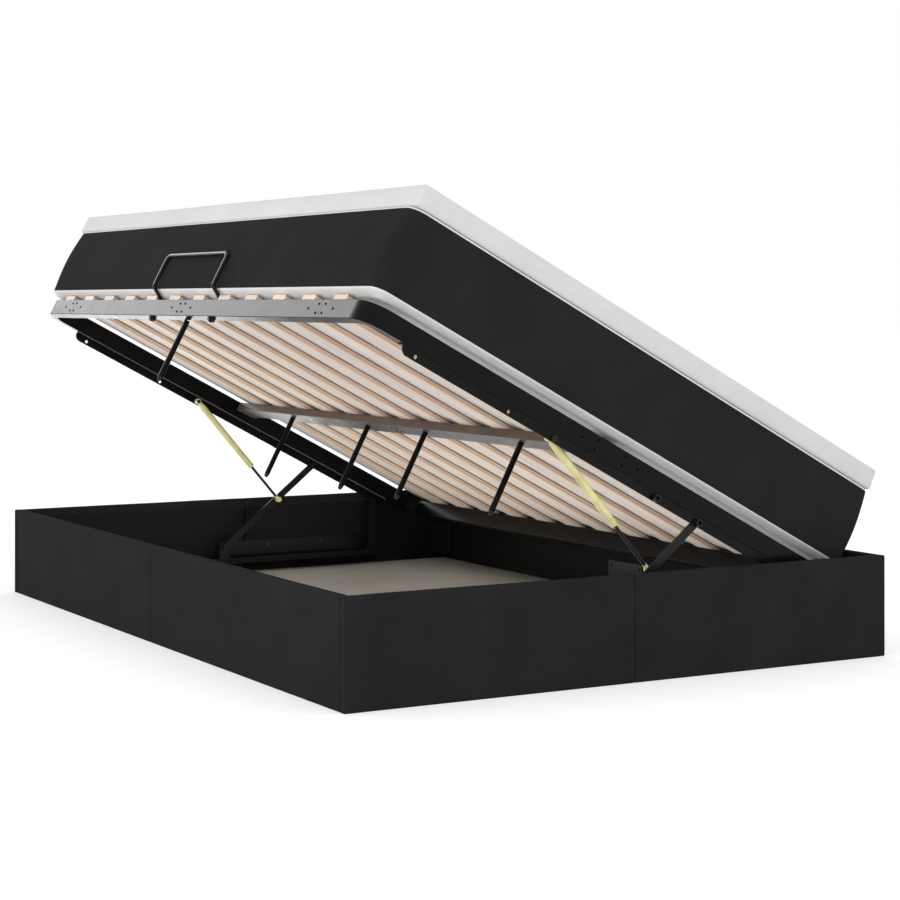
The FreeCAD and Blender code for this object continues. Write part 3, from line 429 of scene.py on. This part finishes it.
def swell(piece, held, pressure, cap):
    """Blows a closed pad up as cloth, holds the points that a test names, and caps every move."""
    start = [v.co.copy() for v in piece.data.vertices]
    group = piece.vertex_groups.new(name="sewn")
    group.add([v.index for v in piece.data.vertices if held(v.co)], 1.0, "REPLACE")
    cloth_modifier = piece.modifiers.new("swell", "CLOTH")
    settings = cloth_modifier.settings
    settings.quality = 5
    settings.mass = 0.3
    settings.tension_stiffness = STIFFNESS
    settings.compression_stiffness = STIFFNESS
    settings.shear_stiffness = STIFFNESS / 3.0
    settings.bending_stiffness = 0.4
    settings.vertex_group_mass = "sewn"
    settings.use_pressure = True
    settings.uniform_pressure_force = pressure
    settings.effector_weights.gravity = 0.0
    cloth_modifier.point_cache.frame_start = 1
    cloth_modifier.point_cache.frame_end = SWELL_FRAMES
    for number in range(1, SWELL_FRAMES + 1):
        scene.frame_set(number)
    blown = piece.evaluated_get(bpy.context.evaluated_depsgraph_get()).data
    moved = [v.co.copy() for v in blown.vertices]
    piece.modifiers.remove(cloth_modifier)
    piece.vertex_groups.remove(group)
    scene.frame_set(1)
    for vertex, a, b in zip(piece.data.vertices, start, moved):
        step = b - a
        vertex.co = a + step * (cap / (cap + step.length)) if step.length > STILL else a


def settle(piece, amount, scale, seed, share):
    """Slow unevenness of stuffed cloth along each point's normal, by the share that a function gives."""
    normals = [v.normal.copy() for v in piece.data.vertices]
    for vertex, normal in zip(piece.data.vertices, normals):
        offset = noise.noise(vertex.co * scale + Vector((seed, 0.0, 0.0)))
        vertex.co += normal * (offset * amount * share(vertex.co))


def smooth(piece):
    subdivision = piece.modifiers.new("smooth", "SUBSURF")
    subdivision.levels = 1
    subdivision.render_levels = 1


def slat_gap(x):
    """0 over a slat, 1 in the middle between two."""
    from_slat = abs((x / SLAT_PITCH) % 1.0 - 0.5) * SLAT_PITCH
    free = from_slat - SLAT_WIDTH / 2.0
    half_gap = (SLAT_PITCH - SLAT_WIDTH) / 2.0
    reach = (SLAT_COUNT - 1) / 2.0 * SLAT_PITCH
    if free <= 0.0 or abs(x) > reach:
        return 0.0
    return math.sin(0.5 * math.pi * min(1.0, free / half_gap))


# Mattress: white underside, hem and top, and a black border between two seams
MATTRESS = (1.966, 1.404, 0.206)
MATTRESS_BOTTOM = 0.2399
MATTRESS_Y = 0.008
MATTRESS_CORNER = 0.034
HEM, SHOULDER, BULGE = 0.012, 0.0035, 0.007
BORDER_ROWS = 11
SEAM_REACH = 1e-5
UNDERSIDE = 0.001
SLAT_SAG = 0.0008
UNEVEN_FROM, UNEVEN_TO = 0.015, 0.195
border = MATTRESS[Z] - HEM - SHOULDER
levels = [(0.0, 0.045, WHITE), (0.0, 0.028, WHITE), (0.0022, 0.0222, WHITE), (0.0062, 0.0132, WHITE),
          (0.0098, 0.0050, WHITE)]
for step in range(BORDER_ROWS + 1):
    share = step / BORDER_ROWS
    levels.append((HEM + border * share, -BULGE * math.sin(math.pi * share),
                   BLACK if step < BORDER_ROWS else WHITE))
levels += [(MATTRESS[Z] - 0.0012, 0.0016, WHITE), (MATTRESS[Z], 0.006, WHITE),
           (MATTRESS[Z], 0.03, WHITE)]


def off_border(co):
    """True for points on the seams and outside the black border."""
    return co.z < HEM + SEAM_REACH or co.z > HEM + border - SEAM_REACH


mattress = pad_mesh("mattress_pad", MATTRESS, MATTRESS_CORNER, levels, [mattress_white, mattress_black])
lengthen_left(mattress, MATTRESS, top=0.004, bottom=0.014)
swell(mattress, off_border, pressure=4.0, cap=0.006)
for vertex in mattress.data.vertices:
    if vertex.co.z < UNDERSIDE:
        vertex.co.z -= SLAT_SAG * slat_gap(vertex.co.x)
settle(mattress, amount=0.0016, scale=5.0, seed=3.0,
       share=lambda co: 1.0 if UNEVEN_FROM < co.z < UNEVEN_TO else 0.0)
mattress.data.transform(TO_OPEN @ Matrix.Translation((0.0, MATTRESS_Y, MATTRESS_BOTTOM)))
smooth(mattress)
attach(mattress, "platform")
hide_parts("mattress")

# Topper: one white slab with soft edges
TOPPER = (1.974, 1.396, 0.052)
TOPPER_BOTTOM = 0.4463
TOPPER_Y = 0.005
TOPPER_CORNER = 0.012
SOFT_BORDER = 0.08
UNEVEN_BY = 0.02
levels = [(0.0, 0.04, WHITE), (0.0, 0.012, WHITE), (0.0004, 0.0045, WHITE), (0.002, 0.0014, WHITE),
          (0.005, 0.0002, WHITE), (0.014, 0.0, WHITE), (0.024, 0.0, WHITE), (0.034, 0.0, WHITE),
          (0.046, 0.0003, WHITE), (0.0495, 0.0016, WHITE), (0.0515, 0.0048, WHITE)]
levels += [(TOPPER[Z], inset, WHITE) for inset in (0.012, 0.03, 0.055, 0.085)]


def off_soft_border(co):
    """True for points on the topper's underside and in the middle of its top."""
    inwards = min(TOPPER[X] / 2.0 - abs(co.x), TOPPER[Y] / 2.0 - abs(co.y))
    return co.z < UNDERSIDE or inwards > SOFT_BORDER


topper = pad_mesh("topper_pad", TOPPER, TOPPER_CORNER, levels, [topper_white])
lengthen_left(topper, TOPPER, top=0.014, bottom=0.014)
swell(topper, off_soft_border, pressure=2.0, cap=0.0016)
settle(topper, amount=0.0010, scale=2.5, seed=11.0,
       share=lambda co: min(1.0, max(0.0, co.z / UNEVEN_BY)))
topper.data.transform(TO_OPEN @ Matrix.Translation((0.0, TOPPER_Y, TOPPER_BOTTOM)))
smooth(topper)
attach(topper, "platform")
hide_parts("topper")


# Covers of the base: cloth drawn over each half wall and turned in at the seam and at the ends

# Thickness and height of a wall, and how far its cloth comes down inside
WALL, HEIGHT, RETURN = 0.022, 0.237, 0.025
HALF_X, HALF_Y, GAP = 1.025, 0.7165, 0.0005
ROUND, END_ROUND = 0.004, 0.0032
FOOT, OUTER_ROWS = 0.004, 12
COLUMN = 0.025
# How deep the cloth is turned in at a seam or an end, and the most of it on the top and inside
TURNED_IN = (0.0195, 0.0100, 0.0045)
MOST_ON_TOP, MOST_INSIDE = 0.004, 0.002
PROUD = 0.0003
LOWEST = 0.0008
# Directions into the wall, as depth and height
FROM_OUTSIDE, FROM_TOP, FROM_INSIDE = (1.0, 0.0), (0.0, -1.0), (-1.0, 0.0)


def wall_profile():
    """Depth into the wall, height and direction into it, from the outer hem to the inner hem."""
    points = [(0.0008, 0.0010, FROM_OUTSIDE), (0.0, FOOT, FROM_OUTSIDE)]
    for row in range(1, OUTER_ROWS + 1):
        points.append((0.0, FOOT + (HEIGHT - ROUND - FOOT) * row / OUTER_ROWS, FROM_OUTSIDE))
    for a in QUARTER[1:]:
        points.append((ROUND - ROUND * math.cos(a), HEIGHT - ROUND + ROUND * math.sin(a),
                       (math.cos(a), -math.sin(a))))
    for share in (0.33, 0.67, 1.0):
        points.append((ROUND + (WALL - 2.0 * ROUND) * share, HEIGHT, FROM_TOP))
    for a in reversed(QUARTER[:-1]):
        points.append((WALL - ROUND + ROUND * math.cos(a), HEIGHT - ROUND + ROUND * math.sin(a),
                       (-math.cos(a), -math.sin(a))))
    for share in (0.5, 0.95):
        points.append((WALL, HEIGHT - ROUND - (RETURN - ROUND) * share, FROM_INSIDE))
    points.append((WALL - 0.0012, HEIGHT - RETURN, FROM_INSIDE))
    return points


def half_cover(length, seed):
    """Grid of one half cover, from the seam to the outer end, with both ends rounded and turned in."""
    columns = [(GAP / 2.0, inset) for inset in TURNED_IN]
    for a in QUARTER:
        columns.append((GAP / 2.0 + END_ROUND * (1.0 - math.cos(a)), END_ROUND * (1.0 - math.sin(a))))
    spans = max(2, int(round((length - 2.0 * END_ROUND) / COLUMN)))
    for step in range(1, spans):
        columns.append((END_ROUND + (length - 2.0 * END_ROUND) * step / spans, 0.0))
    for a in reversed(QUARTER):
        columns.append((length - END_ROUND * (1.0 - math.cos(a)), END_ROUND * (1.0 - math.sin(a))))
    columns += [(length, inset) for inset in reversed(TURNED_IN)]
    profile = wall_profile()
    verts, faces = [], []
    for along, inset in columns:
        for depth, height, (into, down) in profile:
            pull = 0.0006 * noise.noise(Vector((along * 5.0 + seed, height * 9.0, depth * 20.0)))
            pull += 0.0003 * noise.noise(Vector((along * 17.0, height * 25.0 + seed, 0.0)))
            most = TURNED_IN[0] if into == 1.0 else MOST_ON_TOP if down < 0.0 else MOST_INSIDE
            at = min(inset, most) - (pull - PROUD if inset == 0.0 else 0.0)
            verts.append((along, depth + into * at, max(LOWEST, height + down * at)))
    rows = len(profile)
    for c in range(len(columns) - 1):
        for r in range(rows - 1):
            a = c * rows + r
            faces.append((a, a + rows, a + rows + 1, a + 1))
    return verts, faces


def cover(name, length, place, seed):
    """Both halves of a wall's cover as one sheet; place makes a point of along, depth and height."""
    verts, faces = [], []
    for sign in (1.0, -1.0):
        half_verts, half_faces = half_cover(length, seed + sign)
        base = len(verts)
        verts += [place(sign * along, depth, height) for along, depth, height in half_verts]
        faces += [tuple(base + k for k in face) for face in half_faces]
    piece = new_object(name + "_cloth", verts, faces, [base_cloth], [0] * len(faces))
    smooth(piece)
    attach(piece, "base")
    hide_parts(name)


long_half = HALF_X - WALL - GAP
cover("front_cover", long_half, lambda s, d, z: (s, -HALF_Y + d, z),
      seed=1.0)
cover("back_cover", long_half, lambda s, d, z: (s, HALF_Y - d, z),
      seed=5.0)
cover("right_cover", HALF_Y, lambda s, d, z: (HALF_X - d, s, z),
      seed=9.0)
cover("left_cover", HALF_Y, lambda s, d, z: (-HALF_X + d, s, z),
      seed=13.0)


# Floor, light and camera

FLOOR_HALF = 30.0
FLOOR_TONE, FLOOR_GLOW = (0.80, 0.80, 0.80), 0.36
WORLD_LIGHT, WORLD_SEEN = 0.93, 1.0


def seen_rays(kit):
    """1 for camera, glossy and transmitted rays, which see the white surroundings."""
    path = kit.add("LightPath")
    seen = kit.math("MAXIMUM", path.outputs["Is Camera Ray"], path.outputs["Is Glossy Ray"])
    return kit.math("MAXIMUM", seen, path.outputs["Is Transmission Ray"])


floor_mesh = bpy.data.meshes.new("floor")
corners = [(-FLOOR_HALF, -FLOOR_HALF, 0.0), (FLOOR_HALF, -FLOOR_HALF, 0.0),
           (FLOOR_HALF, FLOOR_HALF, 0.0), (-FLOOR_HALF, FLOOR_HALF, 0.0)]
floor_mesh.from_pydata(corners, [], [(0, 1, 2, 3)])
floor = bpy.data.objects.new("floor", floor_mesh)
scene.collection.objects.link(floor)
floor_material = bpy.data.materials.new("floor")
floor_material.use_nodes = True
kit = Nodes(floor_material.node_tree)
kit.tree.nodes.clear()
diffuse = kit.add("BsdfDiffuse", {"Color": FLOOR_TONE}).outputs[0]
glow = kit.add("Emission", {"Strength": kit.math("MULTIPLY", seen_rays(kit), FLOOR_GLOW)}).outputs[0]
kit.add("OutputMaterial", {"Surface": kit.add("AddShader", {0: diffuse, 1: glow}).outputs[0]})
floor_mesh.materials.append(floor_material)

world = bpy.data.worlds.new("studio")
world.use_nodes = True
scene.world = world
kit = Nodes(world.node_tree)
strength = kit.ramp(seen_rays(kit), WORLD_LIGHT, WORLD_SEEN)
kit.set(kit.tree.nodes["Background"], {"Color": (1.0, 1.0, 1.0), "Strength": strength})


def panel(name, place, aim, size, radiance, lights, reflects):
    """Rectangular soft light of a given brightness, aimed at a point.

    It lights the object, shows in its gloss, or both.
    """
    light = bpy.data.lights.new(name, "AREA")
    light.shape = "RECTANGLE"
    light.size, light.size_y = size
    light.energy = radiance * math.pi * size[0] * size[1]
    lamp = bpy.data.objects.new(name, light)
    lamp.location = place
    lamp.rotation_mode = "QUATERNION"
    lamp.rotation_quaternion = (Vector(aim) - Vector(place)).to_track_quat("-Z", "Y")
    lamp.visible_camera = False
    lamp.visible_diffuse = lights
    lamp.visible_glossy = reflects
    scene.collection.objects.link(lamp)


# Name, place, aim, size, brightness, whether it lights the object, whether it shows in its gloss
PANELS = (
    ("left_softbox", (-4.1, -1.75, 2.45), (0.0, -0.4, 0.75), (3.4, 1.6), 3.7, False, True),
    ("left_softbox_far", (-3.4, -2.2, 2.8), (0.9, -0.6, 0.8), (1.2, 1.2), 1.0, False, True),
    ("left_softbox_edge", (-3.3, -3.6, 3.0), (0.0, -0.4, 0.75), (1.4, 1.8), 2.0, False, True),
    ("left_floor_card", (-2.6, 0.1, 0.012), (-2.6, 0.1, 1.0), (2.6, 2.4), 2.0, False, True),
    ("front_fill", (0.2, -3.6, 0.30), (0.0, -0.2, 0.60), (4.4, 0.5), 4.8, True, False),
    ("right_fill", (4.6, -0.9, 1.7), (0.9, 0.0, 0.5), (2.0, 2.0), 2.0, True, False),
    ("storage_fill", (0.0, -0.05, 0.045), (0.0, -0.05, 1.0), (1.7, 1.0), 0.85, True, True),
)
for values in PANELS:
    panel(*values)

CAMERA_PLACE = (4.7736, -2.6666, 0.8319)
CAMERA_AIM = (-0.872, 0.489, 0.0)
camera_data = bpy.data.cameras.new("camera")
camera_data.sensor_width = 36.0
camera_data.lens = 83.78
camera_data.shift_x = 0.0444
camera_data.shift_y = -0.1644
camera_data.clip_end = 100.0
camera = bpy.data.objects.new("camera", camera_data)
camera.location = CAMERA_PLACE
camera.rotation_mode = "QUATERNION"
camera.rotation_quaternion = Vector(CAMERA_AIM).to_track_quat("-Z", "Y")
scene.collection.objects.link(camera)
scene.camera = camera
